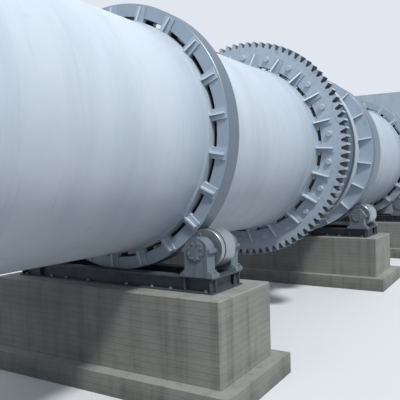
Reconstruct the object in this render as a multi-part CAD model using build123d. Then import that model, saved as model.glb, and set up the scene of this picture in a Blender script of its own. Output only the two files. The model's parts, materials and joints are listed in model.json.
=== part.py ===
from build123d import *
from collections import namedtuple
from math import acos, cos, pi, radians, sin, tan
import os

# Rotary kiln incinerator at its real size, in millimetres.
# The kiln turns about an axis that falls gently towards the discharge end (+X).
# What lines up with the kiln is modelled along X, through the point where that axis
# crosses the middle riding ring, and then put on the slope. Until then Z is measured
# from the axis, and angles about it go from +Y towards +Z. Piers stand upright on Z = 0.

# Slope and height
slope = 1.3                     # degrees, falling towards +X
axis_height = 5600              # kiln axis above the ground at the middle riding ring

# Shell and lining
shell_radius = 2800
shell_wall = 50
band_rise = 40                  # how far a thick band stands out from the shell
band_margin = 30                # how far a band runs past the feet of the ribs on it
feed_end = -19900
discharge_end = 10250
feed_joint = -9200              # field weld between the feed and drive sections
discharge_joint = 3600          # field weld between the drive and discharge sections
lining_thickness = 230
lining_gap = 0.3

# Riding rings; a ring's depth is measured from its bore to its tread
ring_1_station = -12760
ring_1_depth = 320
ring_1_width = 480
ring_1_chairs = 22
ring_1_first_chair = 91.3       # degrees
ring_2_station = 0
ring_2_depth = 400
ring_2_width = 940
ring_2_chairs = 20
ring_2_first_chair = 99.2
ring_3_station = 8210
ring_3_depth = 370
ring_3_width = 560
ring_3_chairs = 20
ring_3_first_chair = 103.7
pad_thickness = 100             # of the pads between a band and a ring's bore
ring_chamfer = 14

# Chairs that hold the rings: a pad under the ring, a plate and a rib at each of its faces
chair_width = 260
chair_plate = 32
chair_fit = 0.3                 # clearance between a chair and what it holds
chair_reach = 270               # from the bore of the ring to the outer edge of a plate
rib_thickness = 42
rib_foot = 90                   # how far a rib stands out from its plate at the shell
rib_tip = 45                    # and at its outer end
rib_nose = 20                   # height of the square toe at a rib's foot
rib_inset = 20                  # how far a rib stops short of its plate's outer edge
rib_weld_gap = 3                # root gap of the weld between a rib and the band

# Stop plate on the feed side of the middle riding ring
stop_station = -1020            # its face towards the feed end
stop_thickness = 40
stop_rise = 545                 # from the band to its rim
stop_ribs = 20
stop_first_rib = 99.2
stop_rib_foot = 200
stop_rib_tip = 60

# Shell flange between the gear and the middle riding ring: a web with a bar for a rim
flange_station = -3130
flange_rise = 500               # from the shell to the rim
flange_web = 70
flange_bar_width = 500
flange_bar_thickness = 50
flange_chamfer = 10

# Girth gear and pinion
gear_station = -5780
gear_teeth = 88
pinion_teeth = 22
pressure_angle = 20
addendum = 1.0                  # in modules
dedendum = 1.25                 # in modules
flank_relief = 1.6              # taken off each flank, which gives the pair its backlash
gear_width = 420
gear_pad_thickness = 75         # of the pads between the band and the web's bore
web_depth = 466                 # from the web's bore to the rim
web_thickness = 150
rim_depth = 210                 # from the rim's bore to the root of the teeth
gear_chairs_count = 22
gear_first_chair = 100.0
gear_pad_width = 470
gear_plate_width = 300
gear_chair_reach = 450
gear_rib_foot = 300
gear_rib_tip = 40
gear_band_margin = 263          # how far the gear's band runs past the feet of its ribs
boss_offset = 302               # pin heads, from the web's bore
boss_radius = 95
boss_height = 70
boss_chamfer = 12
mesh_tooth = 32                 # the gear tooth in mesh, counted back from the first chair
pinion_width = 460
pinion_journal = 160
pinion_shoulder = 220

# Support rollers
roller_angle = 45               # degrees each side of straight down
roller_radius = 450
roller_overlap = 70             # how far a roller is wider than its ring, each side
roller_gap = 0.5                # running gap between roller and ring
roller_chamfer = 10
groove_inset = 115              # oil groove, from the roller's feed-side face
groove_width = 60
groove_depth = 30
journal_radius = 130
shoulder_radius = 190
shoulder_length = 60

# Bearings, for the rollers and the pinion
bearing_height = 520            # from the lowest roller axis down to the bed
bearing_length = 340
bearing_radius = 290
bearing_ear = 60                # how far the joint of a bearing cap stands out at each side
bearing_joint = 70
bearing_foot = 410              # half width of a bearing's foot
bearing_step = 330              # half width of the step above it
foot_thickness = 70
bearing_gap = 0.25              # running clearance round a journal
end_play = 6                    # between a journal's end or shoulder and its housing
cover_thickness = 50
end_cap_radius = 215
end_cap_thickness = 25

# Machine beds of welded I beams
bed_depth = 360
beam_width = 300
beam_flange = 36
beam_web = 30
stiffener_inset = 15            # from the edges of the flanges

# Piers
pier_half_length = 1250
pier_side = 420                 # concrete past the outer bearing feet
pier_edge = 250                 # concrete past the drive bed's sides
pier_chamfer = 30
footing_spread = 350
footing_depth = 500

# Drive on the far side, in a line from the pinion towards the feed end
bed_margin = 400                # bed past the last bearing and past the motor's stand
coupling_gap = 60               # bare shaft on each side of the coupling
coupling_length = 500
coupling_radius = 300
coupling_hub = 220
coupling_flange = 130           # both flanges together
shaft_engagement = 200          # how far the pinion shaft reaches into the gearbox
gearbox_length = 1250
gearbox_width = 1500
gearbox_rise = 750              # from the pinion axis to the lid
gearbox_chamfer = 180
gearbox_joint = 100             # thickness of both flanges of the split, together
gearbox_lip = 40                # how far they stand out
gearbox_foot_lip = 60
gearbox_boss = 120              # wall of the boss round the shaft
gearbox_boss_length = 50
bell_length = 200
bell_radius = 240
motor_radius = 330
motor_length = 900
fin_pitch_width = 26            # width of one fin and of one gap
fin_depth = 40
motor_end_depth = 60            # how far the motor's end shields are drawn in
fan_cover_length = 160
fan_cover_depth = 10
stand_half = 380
stand_inset = 150               # of the motor's stand from each end of the motor
stand_drop = 200                # the stand's top, below the motor's axis

# Feed hood
feed_hood_length = 2100
feed_hood_side = 450            # from the shell's side to the hood's side
feed_hood_cover = 450           # from the shell's top to the hood's top
feed_lap = 300                  # how far the shell reaches into either hood
hood_plate = 60
hood_bands = 2
hood_band_thickness = 30
hood_band_rise = 120
seal_gap = 12                   # running gap round the shell in either seal
seal_length = 220
seal_thickness = 30
seal_flange = 220
chute_width = 1500
chute_height = 1300
chute_wall = 40
chute_rise = 900
chute_run = 1500
chute_flange = 90
chute_flange_thickness = 50
burner_side = 1550              # burner port, from the kiln axis towards the drive side
burner_drop = 900               # and below the axis
burner_radius = 260
burner_length = 320
burner_flange = 90
burner_flange_thickness = 40
burner_cap_radius = 110
burner_cap_height = 60

# Discharge hood
discharge_hood_length = 4000
discharge_hood_side = 900
discharge_hood_cover = 1080
hood_wall = 220
wall_ribs = 4
wall_rib_thickness = 40
wall_rib_rise = 140
outlet_radius = 1250
outlet_height = 1500            # centre of the gas outlet above the kiln axis
outlet_length = 450
outlet_wall = 40
outlet_flange = 170
outlet_flange_thickness = 45
ash_opening = 1400
ash_opening_width = 2000
ash_margin = 50                 # from the ash opening to the piers on either side of it
door_width = 700
door_height = 1500
door_height_above_bed = 900
door_frame = 70
door_frame_rise = 60
door_leaf_rise = 35
door_gap = 5
hinge_radius = 28
hinge_length = 160
hinge_inset = 250

# Values that follow from the ones above
Ring = namedtuple("Ring", "station radius width chairs first_chair")
band_radius = shell_radius + band_rise
shell_bore = shell_radius - shell_wall
ring_bore = band_radius + pad_thickness
rings = (Ring(ring_1_station, ring_bore + ring_1_depth, ring_1_width, ring_1_chairs, ring_1_first_chair),
         Ring(ring_2_station, ring_bore + ring_2_depth, ring_2_width, ring_2_chairs, ring_2_first_chair),
         Ring(ring_3_station, ring_bore + ring_3_depth, ring_3_width, ring_3_chairs, ring_3_first_chair))
lowest_roller = (max(ring.radius for ring in rings) + roller_radius + roller_gap) * cos(radians(roller_angle))
bed_top = -lowest_roller - bearing_height
bed_level = bed_top - bed_depth

gear_bore = band_radius + gear_pad_thickness
rim_bore = gear_bore + web_depth
module = (rim_bore + rim_depth) / (gear_teeth / 2 - dedendum)
web_middle = gear_station - (gear_width - web_thickness) / 2
mesh_angle = gear_first_chair - (mesh_tooth - 0.5) * 360 / gear_teeth
centre_distance = (gear_teeth + pinion_teeth) * module / 2
pinion_y = centre_distance * cos(radians(mesh_angle))
pinion_z = centre_distance * sin(radians(mesh_angle))

# Places along the drive, from the gear's middle towards the feed end
pinion_mouth = pinion_width / 2 + shoulder_length + end_play
pinion_bearing_end = pinion_mouth + bearing_length
coupling_start = pinion_bearing_end + coupling_gap
gearbox_start = coupling_start + coupling_length + coupling_gap
gearbox_end = gearbox_start + gearbox_length
motor_start = gearbox_end + bell_length
motor_end = motor_start + motor_length
drive_low = -pinion_bearing_end - end_cap_thickness - bed_margin
drive_high = motor_end - stand_inset + bed_margin
drive_bed_top = bed_top - pinion_z

feed_face = feed_end + feed_lap
feed_back = feed_face - feed_hood_length
feed_half = shell_radius + feed_hood_side
feed_top = shell_radius + feed_hood_cover
discharge_face = discharge_end - feed_lap
discharge_back = discharge_face + discharge_hood_length
discharge_half = shell_radius + discharge_hood_side
discharge_top = shell_radius + discharge_hood_cover
seal_bore = shell_radius + seal_gap
past = 1                        # how far a cutting solid runs past the faces it cuts

on_slope = Pos(0, 0, axis_height) * Rot(0, slope, 0)
pinion_place = Pos(gear_station, pinion_y, pinion_z)


def ground_height(station, drop):
    """height above the ground of a point `drop` from the kiln axis, at a level station"""
    return axis_height + drop / cos(radians(slope)) - station * tan(radians(slope))


def write(node, shape):
    export_step(shape, f"parts/{node}.step")


def tube(start, length, inner, outer):
    """hollow cylinder about the X axis, from one station on"""
    return Pos(start, 0, 0) * extrude(Plane.YZ * (Circle(outer) - Circle(inner)), length)


def rod(start, length, radius):
    """solid cylinder about the X axis, from one station on"""
    return Pos(start, 0, 0) * extrude(Plane.YZ * Circle(radius), length)


def turned(points):
    """solid of revolution about the X axis from (station, radius) points"""
    outline = make_face(Polyline(*[(x, 0, r) for x, r in points], close=True))
    return revolve(outline, Axis.X, 360)


def block(x, y, z):
    """box between two corners, each axis given as (low, high)"""
    size = Box(x[1] - x[0], y[1] - y[0], z[1] - z[0])
    return Pos((x[0] + x[1]) / 2, (y[0] + y[1]) / 2, (z[0] + z[1]) / 2) * size


def about(middle, width):
    """(low, high) of a width centred on a place"""
    return (middle - width / 2, middle + width / 2)


def repeated(shape, count, first_angle):
    """copies of a shape evenly spaced about the kiln axis"""
    return [Rot(first_angle + n * 360 / count, 0, 0) * shape for n in range(count)]


# Shell: three sections, each turned with the thick bands that it carries

def shell_section(start, end, bands):
    """tube wall from start to end, raised over each (low, high) band"""
    outer = [(start, shell_radius)]
    for low, high in bands:
        outer += [(low - band_rise, shell_radius), (low, band_radius)]
        outer += [(high, band_radius), (high + band_rise, shell_radius)]
    outer += [(end, shell_radius)]
    return turned([(start, shell_bore)] + outer + [(end, shell_bore)])


def band(middle, width, foot_depth, margin):
    """(low, high) of the band under chairs that hold a ring or web of that width"""
    return about(middle, width + 2 * (chair_fit + chair_plate + foot_depth + margin))


def ring_band(ring):
    return band(ring.station, ring.width, rib_foot, band_margin)


def lining():
    return tube(feed_end, discharge_end - feed_end, shell_bore - lining_thickness, shell_bore - lining_gap)


# Riding rings, and the chairs that hold them and the girth gear

def riding_ring(ring):
    """forged ring with chamfered edges"""
    half = ring.width / 2
    c = ring_chamfer
    section = [(-half, ring_bore + c), (-half, ring.radius - c), (c - half, ring.radius),
               (half - c, ring.radius), (half, ring.radius - c), (half, ring_bore + c),
               (half - c, ring_bore), (c - half, ring_bore)]
    return Pos(ring.station, 0, 0) * turned(section)


def rib(top, foot_depth, tip_depth):
    """upright tapered rib at +Y, on the +X side of a plate that ends at X = 0"""
    foot = band_radius + rib_weld_gap
    outline = Polyline((0, foot), (foot_depth, foot), (foot_depth, foot + rib_nose), (tip_depth, top), (0, top),
                       close=True)
    return extrude(make_face(outline), rib_thickness / 2, both=True)


def curved_plate(low, high, inner, outer, width):
    """part of a tube about the X axis, at +Y"""
    return tube(low, high - low, inner, outer) & block((low, high), (0, outer), about(0, width))


def chair(width, bore, pad_width, plate_width, reach, foot_depth, tip_depth):
    """chair at +Y for a ring or web of that width and bore: pad, two plates and two ribs"""
    face = width / 2 + chair_fit
    back = face + chair_plate
    top = bore + reach
    pad = curved_plate(-back, back, band_radius, bore - chair_fit, pad_width)
    end = curved_plate(face, back, band_radius, top, plate_width)
    end += Pos(back, 0, 0) * rib(top - rib_inset, foot_depth, tip_depth)
    return pad + end + mirror(end, Plane.YZ)


def ring_chairs(ring):
    one = chair(ring.width, ring_bore, chair_width, chair_width, chair_reach, rib_foot, rib_tip)
    return Pos(ring.station, 0, 0) * Compound(repeated(one, ring.chairs, ring.first_chair))


def stop_plate():
    """flat ring with ribs on its feed side, upright on the middle ring's band"""
    rim = band_radius + stop_rise
    one_rib = mirror(rib(rim - rib_inset, stop_rib_foot, stop_rib_tip), Plane.YZ)
    plate = tube(0, stop_thickness, band_radius, rim)
    return Pos(stop_station, 0, 0) * (plate + repeated(one_rib, stop_ribs, stop_first_rib))


def shell_flange():
    """upright web with a wide bar round it as a rim"""
    rim = shell_radius + flange_rise
    under = rim - flange_bar_thickness
    web = flange_web / 2
    bar = flange_bar_width / 2
    c = flange_chamfer
    section = [(-web, shell_radius), (-web, under), (-bar, under), (-bar, rim - c), (c - bar, rim),
               (bar - c, rim), (bar, rim - c), (bar, under), (web, under), (web, shell_radius)]
    return Pos(flange_station, 0, 0) * turned(section)


# Girth gear, its pin heads and the pinion

def involute(angle):
    return tan(angle) - angle


def tooth_edges(teeth, centre):
    """edges of one tooth and the root land after it, in the plane of the gear"""
    pitch = teeth * module / 2
    base = pitch * cos(radians(pressure_angle))
    root = pitch - dedendum * module
    tip = pitch + addendum * module
    half = pi / (2 * teeth) - flank_relief / pitch + involute(radians(pressure_angle))

    def at(radius, angle):
        return Vector(radius * cos(angle), radius * sin(angle))

    def flank(radius, side):
        slack = involute(acos(min(1, base / radius)))
        return at(radius, centre + side * (half - slack))

    start = max(base, root)
    middle = (start + tip) / 2
    foot_angle = half - involute(acos(min(1, base / start)))
    edges = [ThreePointArc(flank(start, -1), flank(middle, -1), flank(tip, -1)),
             Line(flank(tip, -1), flank(tip, 1)),
             ThreePointArc(flank(tip, 1), flank(middle, 1), flank(start, 1))]
    next_foot = centre + 2 * pi / teeth - foot_angle
    if start > root:
        edges = [Line(at(root, centre - foot_angle), flank(start, -1))] + edges
        edges += [Line(flank(start, 1), at(root, centre + foot_angle))]
    edges += [Line(at(root, centre + foot_angle), at(root, next_foot))]
    return edges


def toothed_disc(teeth, first_tooth, width):
    """spur gear blank centred on the axis, with involute flanks"""
    edges = []
    for n in range(teeth):
        edges += tooth_edges(teeth, radians(first_tooth) + n * 2 * pi / teeth)
    return extrude(Plane.YZ * make_face(Wire(edges)), width / 2, both=True)


def girth_gear():
    """toothed rim, full width, on a web that is flush with the rim's feed-side face"""
    half = gear_width / 2
    blank = toothed_disc(gear_teeth, mesh_angle, gear_width)
    bore = rod(-half, gear_width, gear_bore)
    recess = rod(web_thickness - half, gear_width, rim_bore)
    return Pos(gear_station, 0, 0) * (blank - bore - recess)


def gear_chairs():
    """as a ring's chairs, but on the web, so with one rib each side of it"""
    one = chair(web_thickness, gear_bore, gear_pad_width, gear_plate_width, gear_chair_reach, gear_rib_foot,
                gear_rib_tip)
    return Pos(web_middle, 0, 0) * Compound(repeated(one, gear_chairs_count, gear_first_chair))


def gear_bosses():
    """one round pin head on the web, half-way between each pair of chairs"""
    outline = [(0, 0), (0, boss_radius), (-boss_height + boss_chamfer, boss_radius),
               (-boss_height, boss_radius - boss_chamfer), (-boss_height, 0)]
    head = Pos(gear_station - gear_width / 2, gear_bore + boss_offset, 0) * turned(outline)
    between = gear_first_chair + 180 / gear_chairs_count
    return Compound(repeated(head, gear_chairs_count, between))


def pinion():
    """toothed pinion with its shaft and its coupling"""
    teeth = toothed_disc(pinion_teeth, mesh_angle + 180 + 180 / pinion_teeth, pinion_width)
    shoulder = pinion_width / 2 + shoulder_length
    free_end = -(pinion_bearing_end - cover_thickness - end_play)
    coupling_end = coupling_start + coupling_length
    flange = about(coupling_start + coupling_length / 2, coupling_flange)
    drive_end = gearbox_start + shaft_engagement
    shaft = turned([(free_end, 0), (free_end, pinion_journal), (-shoulder, pinion_journal),
                    (-shoulder, pinion_shoulder), (shoulder, pinion_shoulder), (shoulder, pinion_journal),
                    (coupling_start, pinion_journal), (coupling_start, coupling_hub), (flange[0], coupling_hub),
                    (flange[0], coupling_radius), (flange[1], coupling_radius), (flange[1], coupling_hub),
                    (coupling_end, coupling_hub), (coupling_end, pinion_journal), (drive_end, pinion_journal),
                    (drive_end, 0)])
    return pinion_place * (teeth + mirror(shaft, Plane.YZ))


# Support rollers, their bearings and the beds

def roller_place(ring, side):
    """centre of a roller, side = -1 on the -Y side of the ring, 1 on the drive side"""
    reach = ring.radius + roller_radius + roller_gap
    angle = radians(roller_angle)
    return Pos(ring.station, side * reach * sin(angle), -reach * cos(angle))


def roller_half(ring):
    return ring.width / 2 + roller_overlap


def bearing_mouth(ring):
    return roller_half(ring) + shoulder_length + end_play


def support_roller(ring):
    """roller with an oil groove near its feed-side edge, turned in one with its journals"""
    half = roller_half(ring)
    shoulder = half + shoulder_length
    end = bearing_mouth(ring) + bearing_length - cover_thickness - end_play
    groove = groove_inset - half
    low = roller_radius - groove_depth
    c = roller_chamfer
    return turned([(-end, 0), (-end, journal_radius), (-shoulder, journal_radius), (-shoulder, shoulder_radius),
                   (-half, shoulder_radius), (-half, roller_radius - c), (c - half, roller_radius),
                   (groove, roller_radius), (groove, low), (groove + groove_width, low),
                   (groove + groove_width, roller_radius), (half - c, roller_radius), (half, roller_radius - c),
                   (half, shoulder_radius), (shoulder, shoulder_radius), (shoulder, journal_radius),
                   (end, journal_radius), (end, 0)])


def bearing_housing(journal, height, closed=True):
    """pillow block round the X axis from X = 0 on, `height` above its bed"""
    profile = Circle(bearing_radius) + Pos(0, -height / 2) * Rectangle(2 * bearing_radius, height)
    profile += Rectangle(2 * (bearing_radius + bearing_ear), bearing_joint)
    profile += Pos(0, foot_thickness / 2 - height) * Rectangle(2 * bearing_foot, foot_thickness)
    profile += Pos(0, foot_thickness - height) * Rectangle(2 * bearing_step, 2 * foot_thickness)
    housing = extrude(Plane.YZ * profile, bearing_length)
    bore = journal + bearing_gap
    if closed:
        cap = rod(bearing_length, end_cap_thickness, end_cap_radius)
        return housing + cap - rod(-past, bearing_length - cover_thickness + past, bore)
    return housing - rod(-past, bearing_length + 2 * past, bore)


def roller_bearings(ring):
    """four pillow blocks, two for each roller of the ring"""
    housings = []
    for side in (-1, 1):
        place = roller_place(ring, side)
        housing = Pos(bearing_mouth(ring), 0, 0) * bearing_housing(journal_radius, place.position.Z - bed_top)
        housings += [place * housing, place * mirror(housing, Plane.YZ)]
    return Compound(housings)


def beam(x, y, along):
    """I beam between bed_level and bed_top, along X or along Y"""
    flanges = block(x, y, (bed_level, bed_level + beam_flange)) + block(x, y, (bed_top - beam_flange, bed_top))
    if along == "Y":
        x = about((x[0] + x[1]) / 2, beam_web)
    else:
        y = about((y[0] + y[1]) / 2, beam_web)
    return flanges + block(x, y, (bed_level, bed_top))


def bed_half_width(ring):
    return roller_place(ring, 1).position.Y + bearing_foot


def bed(ring):
    """two cross beams under the bearings, stiffened there and tied by two short beams"""
    middle = bearing_mouth(ring) + bearing_length / 2
    wide = bed_half_width(ring)
    under = roller_place(ring, 1).position.Y
    frame = Part()
    for x in (ring.station - middle, ring.station + middle):
        frame += beam(about(x, beam_width), (-wide, wide), "Y")
        for y in (-under - bearing_step, bearing_step - under, under - bearing_step, under + bearing_step):
            frame += block(about(x, beam_width - 2 * stiffener_inset), about(y, beam_web), (bed_level, bed_top))
    inner = middle - beam_width / 2
    tie = wide - beam_width / 2
    for y in (-tie, tie):
        frame += beam(about(ring.station, 2 * inner), about(y, beam_width), "X")
    return frame


# Concrete: every pier stands upright and is cut to the slope on top

def pier(low, high, half, centre_y=0, footing_low=footing_spread, footing_high=footing_spread):
    """block of concrete from the ground to bed_level, with a wider footing"""
    outline = Polyline((low, 0, 0), (high, 0, 0), (high, 0, ground_height(high, bed_level)),
                       (low, 0, ground_height(low, bed_level)), close=True)
    column = Pos(0, centre_y, 0) * extrude(make_face(outline), half, both=True)
    top = column.faces().sort_by(Axis.Z)[-1]
    column = chamfer(column.edges().filter_by(Axis.Z) + top.edges(), pier_chamfer)
    wide = 2 * (half + footing_spread)
    footing = block((low - footing_low, high + footing_high), about(centre_y, wide), (0, footing_depth))
    return column + footing


def ring_pier(ring):
    low, high = about(ring.station, 2 * pier_half_length)
    return pier(low, high, bed_half_width(ring) + pier_side)


# Drive: bearings, bed, gearbox and motor, modelled from the pinion towards +X and mirrored

def on_drive(shape):
    """puts a solid that was modelled about the pinion's axis on its place"""
    return pinion_place * mirror(shape, Plane.YZ)


def pinion_bearings():
    near = Pos(pinion_mouth, 0, 0) * bearing_housing(pinion_journal, -drive_bed_top, closed=False)
    far = Pos(-pinion_mouth, 0, 0) * mirror(bearing_housing(pinion_journal, -drive_bed_top), Plane.YZ)
    return Compound([on_drive(near), on_drive(far)])


def drive_bed():
    """two long beams beside the pinion, tied under each thing that stands on them"""
    gap = gearbox_width / 2 - beam_width / 2
    low = gear_station - drive_high
    high = gear_station - drive_low
    frame = Part()
    for y in (pinion_y - gap, pinion_y + gap):
        frame += beam((low, high), about(y, beam_width), "X")
    bearing = pinion_mouth + bearing_length / 2
    gearbox_middle = gear_station - gearbox_start - gearbox_length / 2
    motor_middle = gear_station - motor_start - motor_length / 2
    end = beam_width / 2
    inner = gap - beam_width / 2
    for x in (low + end, motor_middle, gearbox_middle, gear_station - bearing, gear_station + bearing, high - end):
        frame += beam(about(x, beam_width), about(pinion_y, 2 * inner), "Y")
    return frame


def gearbox():
    """cast housing, split at the shaft line, with a bored boss for the pinion shaft"""
    half = gearbox_width / 2
    case = block((gearbox_start, gearbox_end), (-half, half), (drive_bed_top, gearbox_rise))
    case = chamfer(case.faces().sort_by(Axis.Z)[-1].edges(), gearbox_chamfer)
    lip = gearbox_lip
    case += block((gearbox_start - lip, gearbox_end), (-half - lip, half + lip), about(0, gearbox_joint))
    foot = gearbox_foot_lip
    case += block((gearbox_start - foot, gearbox_end + foot), (-half - foot, half + foot),
                  (drive_bed_top, drive_bed_top + foot_thickness))
    boss = rod(gearbox_start - gearbox_boss_length, gearbox_boss_length, pinion_journal + gearbox_boss)
    bore = rod(gearbox_start - gearbox_boss_length - past, gearbox_boss_length + shaft_engagement + end_play + past,
               pinion_journal + bearing_gap)
    return on_drive(case + boss - bore)


def motor():
    """finned electric motor on a stand, flanged to the gearbox by its bell housing"""
    shield = motor_radius - motor_end_depth
    valley = motor_radius - fin_depth
    fan = motor_end - fan_cover_length
    pitch = 2 * fin_pitch_width
    first = motor_start + motor_end_depth
    outline = [(gearbox_end, 0), (gearbox_end, bell_radius), (motor_start, bell_radius), (motor_start, shield),
               (first, shield)]
    for n in range(int((fan - first) / pitch)):
        x = first + pitch * n
        outline += [(x, motor_radius), (x + fin_pitch_width, motor_radius), (x + fin_pitch_width, valley),
                    (x + pitch, valley)]
    outline += [(fan, valley), (fan, motor_radius - fan_cover_depth), (motor_end, shield), (motor_end, 0)]
    stand = block((motor_start + stand_inset, motor_end - stand_inset), (-stand_half, stand_half),
                  (drive_bed_top, -stand_drop))
    return on_drive(turned(outline) + stand)


# Hoods

def round_plate(face, thickness, half, top):
    """upright plate across the kiln with a round hole for the shell"""
    plate = block((face, face + thickness), (-half, half), (bed_level, top))
    return plate - rod(face - past, thickness + 2 * past, seal_bore)


def seal(face, side):
    """ring round the shell, bolted by its flange to a hood plate, side = 1 towards +X"""
    ring = tube(0, seal_length, seal_bore, seal_bore + seal_thickness)
    ring += tube(0, seal_thickness, seal_bore, seal_bore + seal_flange)
    if side < 0:
        ring = mirror(ring, Plane.YZ)
    return Pos(face, 0, 0) * ring


def feed_casing():
    """plate box between the front and back plates, with bands round it"""
    x = (feed_back + hood_plate, feed_face - hood_plate)
    casing = block(x, (-feed_half, feed_half), (bed_level, feed_top))
    rise = hood_band_rise
    for n in range(hood_bands):
        middle = x[0] + (x[1] - x[0]) * (n + 1) / (hood_bands + 1)
        casing += block(about(middle, hood_band_thickness), (-feed_half - rise, feed_half + rise),
                        (bed_level, feed_top + rise))
    half = feed_half - hood_plate
    inside = block((x[0] - past, x[1] + past), (-half, half), (bed_level + hood_plate, feed_top - hood_plate))
    return casing - inside


def feed_back_plate():
    plate = block((feed_back, feed_back + hood_plate), (-feed_half, feed_half), (bed_level, feed_top))
    return plate - block((feed_back - past, feed_back + hood_plate + past), about(0, chute_width - 2 * chute_wall),
                         (chute_wall, chute_height - chute_wall))


def slanted_duct(width, bottom, top, overrun):
    """solid of a duct that climbs from the back plate, between two heights at the plate"""
    low = feed_back - chute_run - overrun
    high = feed_back + overrun
    outline = Polyline((high, 0, bottom), (low, 0, bottom + chute_rise), (low, 0, top + chute_rise), (high, 0, top),
                       close=True)
    return extrude(make_face(outline), width / 2, both=True)


def feed_chute():
    """slanted rectangular duct from the back plate up to its flange"""
    end = feed_back - chute_run
    bore_width = chute_width - 2 * chute_wall
    duct = slanted_duct(chute_width, 0, chute_height, 0)
    duct -= slanted_duct(bore_width, chute_wall, chute_height - chute_wall, past)
    collar = block((end - chute_flange_thickness, end), about(0, chute_width + 2 * chute_flange),
                   (chute_rise - chute_flange, chute_rise + chute_height + chute_flange))
    hole = block((end - chute_flange_thickness - past, end + past), about(0, bore_width),
                 (chute_rise + chute_wall, chute_rise + chute_height - chute_wall))
    return duct + (collar - hole)


def burner_port():
    """short flanged tube on the back plate, closed by a blind cover with a sight cap"""
    end = burner_length
    flange = burner_radius + burner_flange
    cover = end + 2 * burner_flange_thickness
    cap = cover + burner_cap_height
    port = turned([(0, 0), (0, burner_radius), (end, burner_radius), (end, flange), (cover, flange),
                   (cover, burner_cap_radius), (cap, burner_cap_radius), (cap, 0)])
    return Pos(feed_back, burner_side, -burner_drop) * mirror(port, Plane.YZ)


def discharge_inside():
    """(low, high) between the front and back walls"""
    return (discharge_face + hood_wall, discharge_back - hood_wall)


def discharge_side_walls():
    """two lined walls with upright ribs outside"""
    x = discharge_inside()
    z = (bed_level + hood_wall, discharge_top - hood_wall)
    step = (x[1] - x[0]) / (wall_ribs - 1)
    wall = block(x, (discharge_half - hood_wall, discharge_half), z)
    for n in range(wall_ribs):
        middle = x[0] + wall_rib_thickness / 2 + n * (step - wall_rib_thickness / (wall_ribs - 1))
        wall += block(about(middle, wall_rib_thickness), (discharge_half, discharge_half + wall_rib_rise), z)
    return Compound([wall, mirror(wall, Plane.XZ)])


def discharge_back_wall():
    wall = block((discharge_back - hood_wall, discharge_back), (-discharge_half, discharge_half),
                 (bed_level, discharge_top))
    hole = rod(discharge_back - hood_wall - past, hood_wall + 2 * past, outlet_radius - outlet_wall)
    return wall - Pos(0, 0, outlet_height) * hole


def discharge_roof():
    return block(discharge_inside(), (-discharge_half, discharge_half), (discharge_top - hood_wall, discharge_top))


def discharge_floor():
    """floor with the opening that the ash falls through"""
    x = discharge_inside()
    floor = block(x, (-discharge_half, discharge_half), (bed_level, bed_level + hood_wall))
    middle = (x[0] + x[1]) / 2
    return floor - block(about(middle, ash_opening), about(0, ash_opening_width),
                         (bed_level - past, bed_level + hood_wall + past))


def gas_outlet():
    """round stub with a flange on the back wall"""
    inner = outlet_radius - outlet_wall
    stub = tube(discharge_back, outlet_length, inner, outlet_radius)
    rim = discharge_back + outlet_length - outlet_flange_thickness
    return Pos(0, 0, outlet_height) * (stub + tube(rim, outlet_flange_thickness, inner,
                                                   outlet_radius + outlet_flange))


def access_door():
    """closed door with its frame and hinges, flat on the -Y wall of the discharge hood"""
    middle = (discharge_face + discharge_back) / 2
    low = bed_level + door_height_above_bed
    high = low + door_height
    wall = -discharge_half
    opening = block(about(middle, door_width), (wall - door_frame_rise - past, wall + past), (low, high))
    frame = block(about(middle, door_width + 2 * door_frame), (wall - door_frame_rise, wall),
                  (low - door_frame, high + door_frame)) - opening
    leaf = block(about(middle, door_width - 2 * door_gap), (wall - door_leaf_rise, wall),
                 (low + door_gap, high - door_gap))
    hinge_x = middle - door_width / 2 - hinge_radius
    for z in (low + hinge_inset, high - hinge_inset):
        barrel = Pos(hinge_x, wall - door_frame_rise, z) * Cylinder(hinge_radius, hinge_length)
        strap = block((hinge_x, middle), (wall - door_frame_rise, wall - door_leaf_rise),
                      about(z, hinge_length / 2))
        leaf += barrel + strap
    return frame + leaf


os.makedirs("parts", exist_ok=True)

stop_band = (stop_station - stop_rib_foot - band_margin, ring_band(rings[1])[1])
gear_band = band(web_middle, web_thickness, gear_rib_foot, gear_band_margin)
write("shell_feed_section", on_slope * shell_section(feed_end, feed_joint, [ring_band(rings[0])]))
write("shell_drive_section", on_slope * shell_section(feed_joint, discharge_joint, [gear_band, stop_band]))
write("shell_discharge_section", on_slope * shell_section(discharge_joint, discharge_end, [ring_band(rings[2])]))
write("lining", on_slope * lining())

for number, ring in enumerate(rings, 1):
    write(f"riding_ring_{number}", on_slope * riding_ring(ring))
    write(f"ring_chairs_{number}", on_slope * ring_chairs(ring))
    for name, side in (("front", -1), ("back", 1)):
        write(f"roller_{number}_{name}", on_slope * roller_place(ring, side) * support_roller(ring))
    write(f"roller_bearings_{number}", on_slope * roller_bearings(ring))
    write(f"bed_{number}", on_slope * bed(ring))
    write(f"pier_{number}", ring_pier(ring))

write("stop_plate", on_slope * stop_plate())
write("shell_flange", on_slope * shell_flange())
write("girth_gear", on_slope * girth_gear())
write("gear_chairs", on_slope * gear_chairs())
write("gear_bosses", on_slope * gear_bosses())
write("pinion", on_slope * pinion())
write("pinion_bearings", on_slope * pinion_bearings())
write("drive_bed", on_slope * drive_bed())
write("gearbox", on_slope * gearbox())
write("drive_motor", on_slope * motor())
write("drive_pier", pier(gear_station - drive_high, gear_station - drive_low, gearbox_width / 2 + pier_edge, pinion_y))

write("feed_front_plate", on_slope * round_plate(feed_face - hood_plate, hood_plate, feed_half, feed_top))
write("feed_casing", on_slope * feed_casing())
write("feed_back_plate", on_slope * feed_back_plate())
write("feed_chute", on_slope * feed_chute())
write("burner_port", on_slope * burner_port())
write("feed_seal", on_slope * seal(feed_face, 1))
write("feed_pier", pier(feed_back, feed_face, feed_half))

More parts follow.
